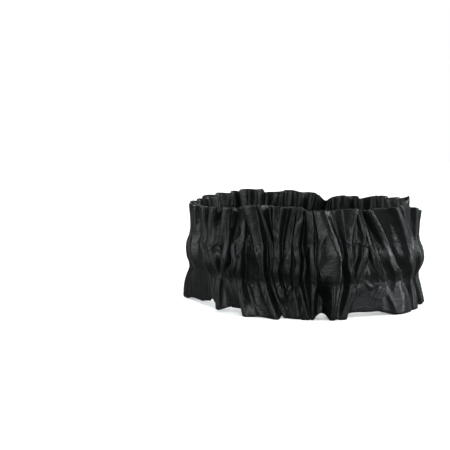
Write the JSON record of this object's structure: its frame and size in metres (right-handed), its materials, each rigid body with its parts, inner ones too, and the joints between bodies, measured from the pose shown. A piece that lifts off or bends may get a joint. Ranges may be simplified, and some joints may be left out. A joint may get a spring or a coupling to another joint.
{
  "type": "sleeve garter",
  "caption": "Gathered satin sleeve garter: a folded satin tube with an upper and a lower ruffle round a hidden elastic band, standing on its lower edge.",
  "frame": {"origin": "middle of the base, on the surface that the garter stands on", "axes": "+Z along the garter's own axis, up; -Y towards the side that faces the viewer in the picture; +X to the viewer's right"},
  "size_m": [0.1037, 0.1035, 0.0441],
  "materials": {
    "black_satin": "black polyester satin, smooth and lustrous",
    "knitted_elastic": "black knitted elastic, matt and ribbed",
    "sewing_thread": "black polyester sewing thread"
  },
  "bodies": {
    "root": {"satin_sleeve": "black_satin", "elastic_band": "knitted_elastic"}
  },
  "joints": []
}
